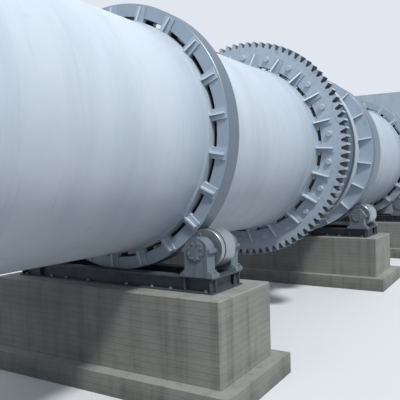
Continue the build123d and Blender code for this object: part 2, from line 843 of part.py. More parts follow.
ash_low, ash_high = about((discharge_face + discharge_back) / 2, ash_opening + 2 * ash_margin)
front_pier = pier(discharge_face, ash_low, discharge_half, 0, 0, 0)
back_pier = pier(ash_high, discharge_back, discharge_half, 0, 0)
write("discharge_piers", Compound([front_pier, back_pier]))

write("discharge_seal", on_slope * seal(discharge_face, -1))
write("discharge_front_wall", on_slope * round_plate(discharge_face, hood_wall, discharge_half, discharge_top))
write("discharge_side_walls", on_slope * discharge_side_walls())
write("discharge_back_wall", on_slope * discharge_back_wall())
write("discharge_roof", on_slope * discharge_roof())
write("discharge_floor", on_slope * discharge_floor())
write("gas_outlet", on_slope * gas_outlet())
write("access_door", on_slope * access_door())
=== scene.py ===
import json
import math

import bpy
import numpy as np
from mathutils import Matrix, Vector


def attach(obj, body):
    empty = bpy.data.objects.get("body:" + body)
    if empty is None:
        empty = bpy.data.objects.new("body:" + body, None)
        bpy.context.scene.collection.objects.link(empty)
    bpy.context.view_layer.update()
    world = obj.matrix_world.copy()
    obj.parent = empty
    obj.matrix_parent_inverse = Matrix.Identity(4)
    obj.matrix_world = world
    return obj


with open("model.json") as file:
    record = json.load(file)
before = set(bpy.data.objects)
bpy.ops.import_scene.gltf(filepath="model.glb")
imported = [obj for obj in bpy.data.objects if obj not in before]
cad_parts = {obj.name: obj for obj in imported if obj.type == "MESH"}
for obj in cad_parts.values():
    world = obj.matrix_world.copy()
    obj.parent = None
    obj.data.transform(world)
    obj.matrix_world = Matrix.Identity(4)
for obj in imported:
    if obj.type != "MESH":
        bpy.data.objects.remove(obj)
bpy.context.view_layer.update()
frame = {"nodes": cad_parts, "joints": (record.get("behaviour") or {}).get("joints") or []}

print("frame loaded:", len(frame["nodes"]), "nodes")


# The kiln's own frame: x runs down its sloping axis, y across to the drive side, z up.
# Angles about the axis go from y towards z.

joints = {joint["name"]: joint for joint in frame["joints"]}
kilnStart = np.array(joints["kiln_spin"]["pos_m"], float)
alongKiln = np.array(joints["kiln_spin"]["axis"], float)
acrossKiln = np.array([0.0, 1.0, 0.0])
kilnAxes = np.array([alongKiln, acrossKiln, np.cross(alongKiln, acrossKiln)])
slopeAngle = math.atan2(-alongKiln[2], alongKiln[0])


def fromKiln(points):
    # world point = axis start + x * along + y * across + z * up
    return kilnStart + np.asarray(points, float) @ kilnAxes


def toKiln(points):
    # kiln point = the shares of (world point - axis start) along the three axes
    return (np.asarray(points, float) - kilnStart) @ kilnAxes.T


def turnedPoint(x, radius, angle):
    # kiln point = (x, radius * cos(angle), radius * sin(angle)), on whole arrays
    x, radius, angle = np.broadcast_arrays(np.asarray(x, float), radius, angle)
    return np.stack([x, radius * np.cos(angle), radius * np.sin(angle)], -1)


def kilnBounds(node):
    # lowest and highest x, y and z of a node in the kiln's frame
    mesh = frame["nodes"][node].data
    points = np.empty(len(mesh.vertices) * 3, np.float32)
    mesh.vertices.foreach_get("co", points)
    points = toKiln(points.reshape(-1, 3))
    return points.min(0), points.max(0)


# Meshes from arrays

def gridTriangles(rows, columns, closeRows=False, closeColumns=False):
    # each square of a rows x columns grid of points is cut in two; a closed side wraps round
    r = np.arange(rows if closeRows else rows - 1)[:, None]
    c = np.arange(columns if closeColumns else columns - 1)[None, :]
    nextR, nextC = (r + 1) % rows, (c + 1) % columns
    corners = np.broadcast_arrays(r * columns + c, r * columns + nextC,
                                  nextR * columns + nextC, nextR * columns + c)
    quads = np.stack(corners, -1).reshape(-1, 4)
    return np.vstack([quads[:, [0, 1, 2]], quads[:, [0, 2, 3]]])


def lathe(profile, columns):
    # point = (radius * cos t, radius * sin t, height); the first and last rows are single points on the axis
    profile = np.asarray(profile, float)
    rows = profile[1:-1]
    t = np.arange(columns) * 2 * np.pi / columns
    rings = np.stack([rows[:, :1] * np.cos(t), rows[:, :1] * np.sin(t), np.repeat(rows[:, 1:], columns, 1)], -1)
    points = np.vstack([[[0, 0, profile[0, 1]]], rings.reshape(-1, 3), [[0, 0, profile[-1, 1]]]])
    k = np.arange(columns)
    after = (k + 1) % columns
    last = (len(rows) - 1) * columns + 1
    bottom = np.stack([np.zeros(columns, int), after + 1, k + 1], -1)
    top = np.stack([np.full(columns, len(points) - 1), last + k, last + after], -1)
    return points, np.vstack([gridTriangles(len(rows), columns, closeColumns=True) + 1, bottom, top])


def joined(shapes):
    # one (points, triangles) pair: each shape's triangles are counted on past the points before it
    starts = np.cumsum([0] + [len(points) for points, faces in shapes[:-1]])
    return (np.vstack([points for points, faces in shapes]),
            np.vstack([faces + start for (points, faces), start in zip(shapes, starts)]))


def copies(shape, origins, normals):
    # each copy's point = origin + x * side + y * (normal x side) + z * normal, with side square to normal
    # and worked out from x, or from y for a normal that lies near x
    points, faces = shape
    origins = np.asarray(origins, float).reshape(-1, 3)
    normals = np.broadcast_to(np.asarray(normals, float), origins.shape)
    other = np.where(np.abs(normals[:, :1]) > 0.9, (0.0, 1.0, 0.0), (1.0, 0.0, 0.0))
    side = np.cross(other, normals)
    side /= np.linalg.norm(side, axis=1, keepdims=True)
    third = np.cross(normals, side)
    placed = (origins[:, None] + points[None, :, 0:1] * side[:, None] + points[None, :, 1:2] * third[:, None]
              + points[None, :, 2:3] * normals[:, None])
    shift = (np.arange(len(origins)) * len(points))[:, None, None]
    return placed.reshape(-1, 3), (faces[None] + shift).reshape(-1, 3)


def addPiece(name, shapes, body, material, smooth=False):
    # one object of shapes given in the kiln's frame
    points, faces = joined(shapes)
    mesh = bpy.data.meshes.new(name)
    mesh.vertices.add(len(points))
    mesh.vertices.foreach_set("co", fromKiln(points).astype(np.float32).ravel())
    mesh.loops.add(faces.size)
    mesh.loops.foreach_set("vertex_index", faces.astype(np.int32).ravel())
    mesh.polygons.add(len(faces))
    mesh.polygons.foreach_set("loop_start", np.arange(len(faces), dtype=np.int32) * 3)
    mesh.polygons.foreach_set("use_smooth", np.full(len(faces), smooth))
    mesh.update(calc_edges=True)
    mesh.validate()
    mesh.materials.append(material)
    piece = bpy.data.objects.new(name, mesh)
    bpy.context.scene.collection.objects.link(piece)
    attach(piece, body)


# Materials

mmPerMetre = 1000.0


def linear(hexColor):
    # sRGB to linear: ((c + 0.055) / 1.055) ** 2.4, or c / 12.92 when dark
    c = np.array([int(hexColor[i:i + 2], 16) for i in (1, 3, 5)]) / 255
    value = np.where(c <= 0.04045, c / 12.92, ((c + 0.055) / 1.055) ** 2.4)
    return (*value.tolist(), 1.0)


def setInputs(tree, node, inputs):
    # each input is a value, a hex colour, a socket that it is linked from, or a node and then its first output
    for key, value in inputs.items():
        if isinstance(value, bpy.types.Node):
            value = value.outputs[0]
        if isinstance(value, bpy.types.NodeSocket):
            tree.links.new(value, node.inputs[key])
        else:
            node.inputs[key].default_value = linear(value) if isinstance(value, str) else value


def addNode(tree, kind, inputs=None, **settings):
    # a shader node of a kind, with its settings and inputs
    made = tree.nodes.new("ShaderNode" + kind)
    for key, value in settings.items():
        setattr(made, key, value)
    setInputs(tree, made, inputs or {})
    return made


def startMaterial(name, metallic=0.0):
    # a new material, with its nodes and its shader
    material = bpy.data.materials.new(name)
    material.use_nodes = True
    shader = material.node_tree.nodes["Principled BSDF"]
    setInputs(material.node_tree, shader, {"Metallic": metallic})
    return material, material.node_tree, shader


def kilnPlace(tree, origin=kilnStart):
    # Object coordinates turned by the slope, with x along an axis through origin
    world = addNode(tree, "TexCoord").outputs["Object"]
    shift = tuple(-kilnAxes @ np.asarray(origin, float))
    return addNode(tree, "Mapping", {"Vector": world, "Location": shift, "Rotation": (0.0, -slopeAngle, 0.0)})


def radiusAt(tree, place):
    # distance from the axis = length of (0, y, z)
    flat = addNode(tree, "VectorMath", {0: place, 1: (0.0, 1.0, 1.0)}, operation="MULTIPLY")
    return addNode(tree, "VectorMath", {0: flat}, operation="LENGTH").outputs["Value"]


def axialPart(tree):
    # size of the normal's part along the kiln's axis: 1 on faces square to it, 0 on turned faces
    normal = addNode(tree, "TexCoord").outputs["Normal"]
    share = addNode(tree, "VectorMath", {0: normal, 1: tuple(alongKiln)}, operation="DOT_PRODUCT")
    return addNode(tree, "Math", {0: share.outputs["Value"]}, operation="ABSOLUTE")


def overlap(tree, share, *others):
    # where all of the shares meet = their product
    for other in others:
        share = addNode(tree, "Math", {0: share, 1: other}, operation="MULTIPLY")
    return share


def greatest(tree, share, *others):
    # wherever any of the shares lies = the greatest of them
    for other in others:
        share = addNode(tree, "Math", {0: share, 1: other}, operation="MAXIMUM")
    return share


def between(tree, value, low, high, soft):
    # 1 from low to high, and 0 further than soft outside them
    rise = addNode(tree, "MapRange", {"Value": value, "From Min": low - soft, "From Max": low})
    fall = addNode(tree, "MapRange", {"Value": value, "From Min": high + soft, "From Max": high})
    return overlap(tree, rise, fall)


outermost = 9.0     # a radius past everything on the kiln, for masks that have no outer end


def coat(tree, under, over, *shares):
    # colour = under * (1 - s) + over * s, with s where all of the shares meet; 6 and 7 are the colour sockets
    return addNode(tree, "Mix", {0: overlap(tree, *shares), 6: under, 7: over}, data_type="RGBA").outputs[2]


def weather(tree, place, color, layers):
    # each layer covers share * (noise - low) / (high - low) of what lies under it;
    # sizeMm is the size of its lumps, or their x, y and z
    for layer in layers:
        perMetre = tuple(mmPerMetre / np.broadcast_to(layer["sizeMm"], 3))
        point = addNode(tree, "VectorMath", {0: place, 1: perMetre}, operation="MULTIPLY")
        pattern = addNode(tree, "TexNoise", {"Vector": point, "Scale": 1.0, "Detail": 5.0, "Roughness": 0.58})
        share = addNode(tree, "MapRange", {
            "Value": pattern, "From Min": layer["low"], "From Max": layer["high"], "To Max": layer["share"]})
        color = coat(tree, color, layer["color"], share)
    return color


def roughen(tree, place, patchMm, low, high):
    # roughness from low to high in patches of a size; nearly all of a noise lies between 0.3 and 0.7
    patch = addNode(tree, "TexNoise", {"Vector": place, "Scale": mmPerMetre / patchMm, "Detail": 4.0})
    return addNode(tree, "MapRange", {
        "Value": patch, "From Min": 0.3, "From Max": 0.7, "To Min": low, "To Max": high})


def relief(tree, shader, place, grainMm, depthMm, wave=None):
    # height in metres = depth * noise of the grain, plus the same of a broad wave in the plate
    fine = addNode(tree, "TexNoise", {"Vector": place, "Scale": mmPerMetre / grainMm, "Detail": 3.0})
    height = addNode(tree, "Math", {0: fine, 1: depthMm / mmPerMetre}, operation="MULTIPLY")
    if wave is not None:
        broad = addNode(tree, "TexNoise", {"Vector": place, "Scale": mmPerMetre / wave["sizeMm"], "Detail": 1.0})
        height = addNode(tree, "Math", {
            0: broad, 1: wave["depthMm"] / mmPerMetre, 2: height}, operation="MULTIPLY_ADD")
    lift = addNode(tree, "Bump", {"Height": height, "Strength": 1.0, "Distance": 1.0})
    setInputs(tree, shader, {"Normal": lift})


greasyRough = 0.9   # grease mixed with dust is matt


def complete(tree, shader, place, color, finish, share=None, otherRough=greasyRough):
    # a colour with its finish's roughness and relief; the roughness nears the other one as a share nears 1
    rough = roughen(tree, place, **finish["rough"])
    if share is not None:
        rough = addNode(tree, "Mix", {0: share, 2: rough, 3: otherRough})
    setInputs(tree, shader, {"Base Color": color, "Roughness": rough})
    if "relief" in finish:
        relief(tree, shader, place, **finish["relief"])


# Where the rings and the gear sit on the shell: near-black painted shade in the slots over graphite grease and
# the dust of years, and a little painted shade with dust beside that; inset is how far in from each ring's sides
# the black begins
slotShadeAndGrime = {
    "color": "#0c1016", "share": 0.97, "soft": 0.02, "inset": (0.11, 0.0, 0.0), "behindGear": 0.12,
    "bore": 2.935, "boreSoft": 0.006, "dustAndShade": "#8494a4", "dustAndShadeReach": 1.5, "dustAndShadeShare": 0.36}
ringBounds = [kilnBounds(f"riding_ring_{number}") for number in (1, 2, 3)]
gearSpan = tuple(corner[0] for corner in kilnBounds("girth_gear"))
gearTip = kilnBounds("girth_gear")[1][1]
flangeStart, flangeEnd = (corner[0] for corner in kilnBounds("shell_flange"))
shadeAndGrimeSpans = [(low[0] + inset, high[0] - inset) for (low, high), inset in zip(ringBounds, slotShadeAndGrime["inset"])]
shadeAndGrimeSpans.append((gearSpan[0], gearSpan[1] + slotShadeAndGrime["behindGear"]))


def underRings(tree, station, soft):
    # 1 where the station lies under a ring or behind the gear's web, fading over a length beside them
    return greatest(tree, *(between(tree, station, low, high, soft) for low, high in shadeAndGrimeSpans))


# Silicone aluminium paint, sprayed hot on rolled plate: an even pale silver with a low sheen,
# faint clouds, and thin runs where rain has washed dust down round the shell; duller towards the
# hot end, and darkened on the steps of its bands as painted shade that dims their highlight
shellFinish = {
    "base": "#ccd7e2", "metallic": 0.1, "rough": {"patchMm": 450, "low": 0.4, "high": 0.56},
    "relief": {"grainMm": 9, "depthMm": 0.12, "wave": {"sizeMm": 1300, "depthMm": 9.0}},
    "heat": {"color": "#96a3b0", "share": 0.5, "from": -15.0, "to": 3.0},
    "step": {
        "color": "#9ba8b5", "share": 0.5, "facing": (0.12, 0.97), "facingSoft": 0.02, "radii": (2.802, 2.85),
        "radiiSoft": 0.001},
    "layers": [
        {"sizeMm": 2600, "low": 0.35, "high": 0.7, "share": 0.8, "color": "#d9e1e9"},
        {"sizeMm": (900, 5000, 5000), "low": 0.5, "high": 0.8, "share": 0.35, "color": "#a2afbb"},
        {"sizeMm": (110, 1800, 1800), "low": 0.6, "high": 0.85, "share": 0.3, "color": "#8e989f"},
        {"sizeMm": 420, "low": 0.62, "high": 0.8, "share": 0.18, "color": "#9d9a90"}]}


def sprayedAluminium():
    heat, step = shellFinish["heat"], shellFinish["step"]
    material, tree, shader = startMaterial("sprayedAluminium", shellFinish["metallic"])
    place = kilnPlace(tree)
    station = addNode(tree, "SeparateXYZ", {"Vector": place}).outputs[0]
    color = weather(tree, place, shellFinish["base"], shellFinish["layers"])
    heated = addNode(tree, "MapRange", {
        "Value": station, "From Min": heat["from"], "From Max": heat["to"], "To Max": heat["share"]})
    color = coat(tree, color, heat["color"], heated)
    # painted shade, with some dust, fading out over a length beside the rings and the gear
    dustyAndShaded = underRings(tree, station, slotShadeAndGrime["dustAndShadeReach"])
    color = coat(tree, color, slotShadeAndGrime["dustAndShade"], dustyAndShaded, slotShadeAndGrime["dustAndShadeShare"])
    # painted shade on the slanting steps of the bands, which dims their highlight
    slanting = between(tree, axialPart(tree), *step["facing"], step["facingSoft"])
    onBand = between(tree, radiusAt(tree, place), *step["radii"], step["radiiSoft"])
    shadedStepShare = overlap(tree, slanting, onBand, step["share"])
    color = coat(tree, color, step["color"], shadedStepShare)
    # near-black painted shade, over graphite grease, under the rings and behind the gear's web
    shadeAndGrime = overlap(tree, underRings(tree, station, slotShadeAndGrime["soft"]), slotShadeAndGrime["share"])
    color = coat(tree, color, slotShadeAndGrime["color"], shadeAndGrime)
    complete(tree, shader, place, color, shellFinish, greatest(tree, shadeAndGrime, shadedStepShare))
    return material


# Painted light on the castings: a pale painted highlight on faces that look up and dark painted shade on faces
# that look down, each by how far a face looks up or down
litTopsShadedUndersides = [
    {"color": "#e6ebf0", "share": 0.45, "from": 0.3, "to": 0.9},
    {"color": "#4d5761", "share": 0.55, "from": -0.3, "to": -0.9}]


def paintTopLightAndUnderShade(tree, color):
    # painted highlight and shade: each layer's share grows as the upward part of the normal goes from one value
    # to the other
    normal = addNode(tree, "TexCoord").outputs["Normal"]
    upward = addNode(tree, "SeparateXYZ", {"Vector": normal}).outputs[2]
    for layer in litTopsShadedUndersides:
        lying = addNode(tree, "MapRange", {
            "Value": upward, "From Min": layer["from"], "From Max": layer["to"], "To Max": layer["share"]})
        color = coat(tree, color, layer["color"], lying)
    return color


# The same paint brushed on welded brackets and stop plates: duller, with a painted highlight on faces that look
# up and painted shade on those that look down, near-black painted shade over the dirt in the slots, a painted
# highlight on the ribs' slanting edges, and a dark band of painted shade on the near part of the flange's bar and
# on the foot of its web
bracketFinish = {
    "base": "#abb9c7", "metallic": 0.08, "rough": {"patchMm": 200, "low": 0.44, "high": 0.62},
    "relief": {"grainMm": 14, "depthMm": 0.35},
    "edge": {"color": "#dde7f2", "share": 0.85, "facing": (0.6, 0.99), "soft": 0.004},
    "flangeShade": {
        "color": "#2b333c", "share": 0.85, "barWidth": 0.1, "barSoft": 0.015, "webRadius": 2.99,
        "webSoft": 0.06, "faceSoft": 0.01},
    "layers": [
        {"sizeMm": 1100, "low": 0.35, "high": 0.7, "share": 0.7, "color": "#b6c2ce"},
        {"sizeMm": 190, "low": 0.55, "high": 0.8, "share": 0.4, "color": "#87929b"},
        {"sizeMm": (110, 800, 800), "low": 0.62, "high": 0.85, "share": 0.4, "color": "#77716a"}]}


def brushedAluminium():
    edge, flangeShade = bracketFinish["edge"], bracketFinish["flangeShade"]
    material, tree, shader = startMaterial("brushedAluminium", bracketFinish["metallic"])
    place = kilnPlace(tree)
    station = addNode(tree, "SeparateXYZ", {"Vector": place}).outputs[0]
    radius = radiusAt(tree, place)
    # painted highlight on faces that look up, painted shade on faces that look down
    color = paintTopLightAndUnderShade(tree, weather(tree, place, bracketFinish["base"], bracketFinish["layers"]))
    # painted highlight on the ribs' slanting front edges
    slanting = between(tree, axialPart(tree), *edge["facing"], edge["soft"])
    color = coat(tree, color, edge["color"], slanting, edge["share"])
    # painted shade: a dark band on the near part of the flange's bar and on the foot of its web
    onBar = between(tree, station, flangeStart, flangeStart + flangeShade["barWidth"], flangeShade["barSoft"])
    beforeWeb = between(tree, station, gearSpan[1], (flangeStart + flangeEnd) / 2, flangeShade["faceSoft"])
    atFoot = between(tree, radius, 0.0, flangeShade["webRadius"], flangeShade["webSoft"])
    onFlange = greatest(tree, onBar, overlap(tree, beforeWeb, atFoot))
    color = coat(tree, color, flangeShade["color"], onFlange, flangeShade["share"])
    # near-black painted shade, over grime, on the chairs in the slots under the rings and the gear
    inSlot = between(tree, radius, 0.0, slotShadeAndGrime["bore"], slotShadeAndGrime["boreSoft"])
    shadeAndGrime = overlap(tree, inSlot, underRings(tree, station, slotShadeAndGrime["soft"]), slotShadeAndGrime["share"])
    color = coat(tree, color, slotShadeAndGrime["color"], shadeAndGrime)
    complete(tree, shader, place, color, bracketFinish, shadeAndGrime)
    return material


# Cast steel gear under the same paint, rough from the sand mould on its web, with its teeth cut bare:
# the flanks and gullets are coated in stiff dark gear grease, while tips and side faces are wiped clean
# and keep a smeared film of it near the teeth
gearFinish = {
    "base": "#b2bfcd", "metallic": 0.08, "rough": {"patchMm": 260, "low": 0.46, "high": 0.64},
    "relief": {"grainMm": 18, "depthMm": 0.6},
    "grease": {
        "color": "#4c5863", "from": 3.5, "belowTip": 0.012, "soft": 0.006, "sideFacing": 0.65,
        "flankFacing": 0.35},
    "film": {
        "color": "#454e57", "share": 0.5, "from": 3.6, "soft": 0.16, "perMetre": 6.0, "low": 0.5, "high": 0.75},
    "layers": [
        {"sizeMm": 1500, "low": 0.35, "high": 0.7, "share": 0.7, "color": "#bdc9d5"},
        {"sizeMm": 240, "low": 0.55, "high": 0.8, "share": 0.45, "color": "#828d96"},
        {"sizeMm": 70, "low": 0.66, "high": 0.8, "share": 0.35, "color": "#6b6862"}]}


def castGearPaint():
    grease, film = gearFinish["grease"], gearFinish["film"]
    material, tree, shader = startMaterial("castGearPaint", gearFinish["metallic"])
    place = kilnPlace(tree)
    radius = radiusAt(tree, place)
    # painted highlight on faces that look up, painted shade on faces that look down
    color = paintTopLightAndUnderShade(tree, weather(tree, place, gearFinish["base"], gearFinish["layers"]))
    streak = addNode(tree, "TexNoise", {"Vector": place, "Scale": film["perMetre"], "Detail": 5.0})
    smear = addNode(tree, "MapRange", {
        "Value": streak, "From Min": film["low"], "From Max": film["high"], "To Max": film["share"]})
    nearTeeth = between(tree, radius, film["from"], outermost, film["soft"])
    color = coat(tree, color, film["color"], nearTeeth, smear)
    # near-black painted shade, over grease, in the gear's bore
    inBore = between(tree, radius, 0.0, slotShadeAndGrime["bore"], slotShadeAndGrime["boreSoft"])
    color = coat(tree, color, slotShadeAndGrime["color"], inBore)
    toothed = between(tree, radius, grease["from"], gearTip - grease["belowTip"], grease["soft"])
    turned = addNode(tree, "MapRange", {
        "Value": axialPart(tree), "From Min": grease["sideFacing"], "From Max": grease["flankFacing"]})
    flank = overlap(tree, toothed, turned)
    color = coat(tree, color, grease["color"], flank)
    complete(tree, shader, place, color, gearFinish, greatest(tree, flank, inBore))
    return material


# Forged ring, its sides painted and its tread rolled bare by the rollers: blue-grey polished steel with
# fine lines round it, and near-black in and just past its bore: painted shade in the slot over seeped grease
ringFinish = {
    "base": "#9dacbb", "metallic": 0.08, "rough": {"patchMm": 260, "low": 0.44, "high": 0.6},
    "relief": {"grainMm": 12, "depthMm": 0.2}, "seep": (0.01, 0.01, 0.03), "seepSoft": 0.004,
    "tread": {
        "bare": "#64707e", "polished": "#818d9a", "metallic": 0.4, "rough": 0.4,
        "linesPerMetre": (30.0, 0.25, 0.25), "edgeDepth": 0.012, "soft": 0.002},
    "layers": [
        {"sizeMm": 1300, "low": 0.35, "high": 0.7, "share": 0.7, "color": "#a5b2bf"},
        {"sizeMm": 260, "low": 0.55, "high": 0.8, "share": 0.4, "color": "#848e97"},
        {"sizeMm": (90, 600, 600), "low": 0.66, "high": 0.85, "share": 0.35, "color": "#7a7064"}]}


def rolledSteel(tree, place, tread):
    # bare steel mixed with polished steel by a noise that is stretched round the axis into lines
    lines = addNode(tree, "VectorMath", {0: place, 1: tread["linesPerMetre"]}, operation="MULTIPLY")
    rolled = addNode(tree, "TexNoise", {"Vector": lines, "Scale": 1.0, "Detail": 4.0})
    return coat(tree, tread["bare"], tread["polished"], rolled)


def forgedRing(number):
    tread = ringFinish["tread"]
    material, tree, shader = startMaterial(f"forgedRing{number}")
    place = kilnPlace(tree)
    radius = radiusAt(tree, place)
    color = weather(tree, place, ringFinish["base"], ringFinish["layers"])
    # near-black painted shade, over seeped grease, in and just past the ring's bore
    seeped = slotShadeAndGrime["bore"] + ringFinish["seep"][number - 1]
    color = coat(tree, color, slotShadeAndGrime["color"], between(tree, radius, 0.0, seeped, ringFinish["seepSoft"]))
    treadRadius = ringBounds[number - 1][1][1]
    onTread = between(tree, radius, treadRadius - tread["edgeDepth"], outermost, tread["soft"])
    color = coat(tree, color, rolledSteel(tree, place, tread), onTread)
    metal = addNode(tree, "MapRange", {
        "Value": onTread, "To Min": ringFinish["metallic"], "To Max": tread["metallic"]})
    setInputs(tree, shader, {"Metallic": metal})
    complete(tree, shader, place, color, ringFinish, onTread, tread["rough"])
    return material


# Forged roller or pinion: the tread or the flanks are bright worn steel, the sides old grey paint with oil
# on it
rollerFinish = {
    "base": "#5d666e", "rough": {"patchMm": 150, "low": 0.4, "high": 0.6},
    "relief": {"grainMm": 10, "depthMm": 0.15},
    "tread": {
        "bare": "#90989e", "polished": "#b1b8bd", "metallic": 0.75, "rough": 0.34,
        "linesPerMetre": (60.0, 0.5, 0.5), "soft": 0.004},
    "layers": [
        {"sizeMm": 320, "low": 0.35, "high": 0.7, "share": 0.8, "color": "#79838b"},
        {"sizeMm": 120, "low": 0.55, "high": 0.78, "share": 0.7, "color": "#26292c"}]}


def forgedRoller(name, joint, treadRadius):
    tread = rollerFinish["tread"]
    material, tree, shader = startMaterial(name)
    place = kilnPlace(tree, joints[joint]["pos_m"])
    color = weather(tree, place, rollerFinish["base"], rollerFinish["layers"])
    onTread = between(tree, radiusAt(tree, place), treadRadius, outermost, tread["soft"])
    color = coat(tree, color, rolledSteel(tree, place, tread), onTread)
    setInputs(tree, shader, {"Metallic": overlap(tree, onTread, tread["metallic"])})
    complete(tree, shader, place, color, rollerFinish, onTread, tread["rough"])
    return material


# Alkyd paint rolled on plate and beams: flat, chalky where the sun reaches it, with long runs of dirt
# under every edge and freckles of rust that bleed a little
alkydFinish = {
    "rough": {"patchMm": 240, "low": 0.46, "high": 0.7},
    "relief": {"grainMm": 16, "depthMm": 0.25, "wave": {"sizeMm": 900, "depthMm": 2.5}},
    "chalkMm": 1900, "runStretch": 12, "rustMm": (150, 150, 260)}
alkydPaints = {
    "hoodAlkyd": {
        "base": "#b3becb", "pale": "#c0cad5", "dirt": "#828c95", "runShare": 0.4, "runMm": 420,
        "rust": "#7b5b45", "rustShare": 0.3},
    "machineAlkyd": {
        "base": "#5f6b75", "pale": "#76828c", "dirt": "#33393e", "runShare": 0.55, "runMm": 160,
        "rust": "#6d4a35", "rustShare": 0.35},
    "beamAlkyd": {
        "base": "#3b4147", "pale": "#4d545b", "dirt": "#25282b", "runShare": 0.6, "runMm": 120,
        "rust": "#69452f", "rustShare": 0.55}}


def rolledAlkyd(name):
    paint = alkydPaints[name]
    material, tree, shader = startMaterial(name)
    place = addNode(tree, "TexCoord").outputs["Object"]
    run = paint["runMm"]
    layers = [
        {"sizeMm": alkydFinish["chalkMm"], "low": 0.35, "high": 0.7, "share": 0.8, "color": paint["pale"]},
        {"sizeMm": (run, run, alkydFinish["runStretch"] * run), "low": 0.5, "high": 0.8,
         "share": paint["runShare"], "color": paint["dirt"]},
        {"sizeMm": alkydFinish["rustMm"], "low": 0.64, "high": 0.76, "share": paint["rustShare"],
         "color": paint["rust"]}]
    complete(tree, shader, place, weather(tree, place, paint["base"], layers), alkydFinish)
    return material


# Structural concrete cast against boards 150 mm wide: grey, with the boards' edges standing out as fine
# fins, air holes, dark runs from the oily machine beds above and a damp foot
concreteFinish = {
    "base": "#83847f", "rough": {"patchMm": 300, "low": 0.78, "high": 0.95},
    "board": {"height": 0.15, "pale": "#9b9a93", "paleShare": 0.3},
    "joint": {"width": 0.012, "at": 0.5, "color": "#6c6c68", "share": 0.25, "depth": 0.0015},
    "damp": {"color": "#55554f", "share": 0.7, "top": 0.8, "foot": 0.2, "waver": 0.9, "perMetre": 1.4},
    "hole": {"perMetre": 11.0, "inner": 0.05, "outer": 0.12, "depth": 0.006},
    "sand": {"perMetre": 45.0, "depth": 0.003},
    "layers": [
        {"sizeMm": (1100, 1100, 900), "low": 0.35, "high": 0.7, "share": 0.9, "color": "#989892"},
        {"sizeMm": 90, "low": 0.55, "high": 0.8, "share": 0.4, "color": "#6f6e6a"},
        {"sizeMm": (260, 260, 4200), "low": 0.5, "high": 0.75, "share": 0.6, "color": "#53524e"},
        {"sizeMm": (60, 60, 1500), "low": 0.62, "high": 0.8, "share": 0.4, "color": "#b0aea6"}]}


def boardedConcrete():
    board, joint, damp, hole, sand = (concreteFinish[key] for key in ("board", "joint", "damp", "hole", "sand"))
    material, tree, shader = startMaterial("boardedConcrete")
    place = addNode(tree, "TexCoord").outputs["Object"]
    height = addNode(tree, "SeparateXYZ", {"Vector": place}).outputs[2]
    course = addNode(tree, "Math", {0: height, 1: board["height"]}, operation="DIVIDE")
    across = addNode(tree, "Math", {0: course}, operation="FRACT")
    number = addNode(tree, "Math", {0: course}, operation="FLOOR")
    tone = addNode(tree, "TexWhiteNoise", {"W": number}, noise_dimensions="1D")
    fin = joint["width"] / board["height"]
    onJoint = between(tree, across, joint["at"] - fin / 2, joint["at"] + fin / 2, fin)
    color = weather(tree, place, concreteFinish["base"], concreteFinish["layers"])
    color = coat(tree, color, board["pale"], tone, board["paleShare"])
    color = coat(tree, color, joint["color"], onJoint, joint["share"])
    edge = addNode(tree, "TexNoise", {"Vector": place, "Scale": damp["perMetre"], "Detail": 5.0})
    level = addNode(tree, "Math", {0: edge, 1: damp["waver"], 2: height}, operation="MULTIPLY_ADD")
    soaked = addNode(tree, "MapRange", {
        "Value": level, "From Min": damp["top"], "From Max": damp["foot"], "To Max": damp["share"]})
    complete(tree, shader, place, coat(tree, color, damp["color"], soaked), concreteFinish)
    # height in metres = joint * depth - hole's depth, nearer its middle, + noise of the sand * depth
    holes = addNode(tree, "TexVoronoi", {"Vector": place, "Scale": hole["perMetre"]})
    pit = addNode(tree, "MapRange", {
        "Value": holes, "From Min": hole["inner"], "From Max": hole["outer"], "To Min": -hole["depth"],
        "To Max": 0.0})
    raised = addNode(tree, "Math", {0: onJoint, 1: joint["depth"], 2: pit}, operation="MULTIPLY_ADD")
    grain = addNode(tree, "TexNoise", {"Vector": place, "Scale": sand["perMetre"], "Detail": 4.0})
    whole = addNode(tree, "Math", {0: grain, 1: sand["depth"], 2: raised}, operation="MULTIPLY_ADD")
    lift = addNode(tree, "Bump", {"Height": whole, "Strength": 1.0, "Distance": 1.0})
    setInputs(tree, shader, {"Normal": lift})
    return material


# Pressed alumina brick laid in rings: courses 200 mm along the kiln, 230 mm round it, 6 mm of mortar,
# glazed and sooted by the fire
brickFinish = {
    "wall": {
        "Color1": "#8a6a52", "Color2": "#a5876c", "Mortar": "#5f554c", "Scale": 1.0, "Mortar Size": 0.006,
        "Brick Width": 0.23, "Row Height": 0.2},
    "bore": 2.52, "depth": 0.006, "lift": 0.6, "rough": {"patchMm": 200, "low": 0.55, "high": 0.9},
    "layers": [
        {"sizeMm": (1500, 900, 900), "low": 0.4, "high": 0.7, "share": 0.75, "color": "#3a322e"},
        {"sizeMm": 200, "low": 0.6, "high": 0.8, "share": 0.4, "color": "#c0a284"}]}


def firedBrick():
    # the wall is unrolled to (radius * angle, x)
    material, tree, shader = startMaterial("firedBrick")
    place = kilnPlace(tree)
    parts = addNode(tree, "SeparateXYZ", {"Vector": place}).outputs
    angle = addNode(tree, "Math", {0: parts[2], 1: parts[1]}, operation="ARCTAN2")
    arc = addNode(tree, "Math", {0: angle, 1: brickFinish["bore"]}, operation="MULTIPLY")
    unrolled = addNode(tree, "CombineXYZ", {0: arc, 1: parts[0]})
    wall = addNode(tree, "TexBrick", {"Vector": unrolled, **brickFinish["wall"]})
    complete(tree, shader, place, weather(tree, place, wall, brickFinish["layers"]), brickFinish)
    lift = addNode(tree, "Bump", {
        "Height": wall.outputs["Fac"], "Strength": brickFinish["lift"], "Distance": -brickFinish["depth"]})
    setInputs(tree, shader, {"Normal": lift})
    return material


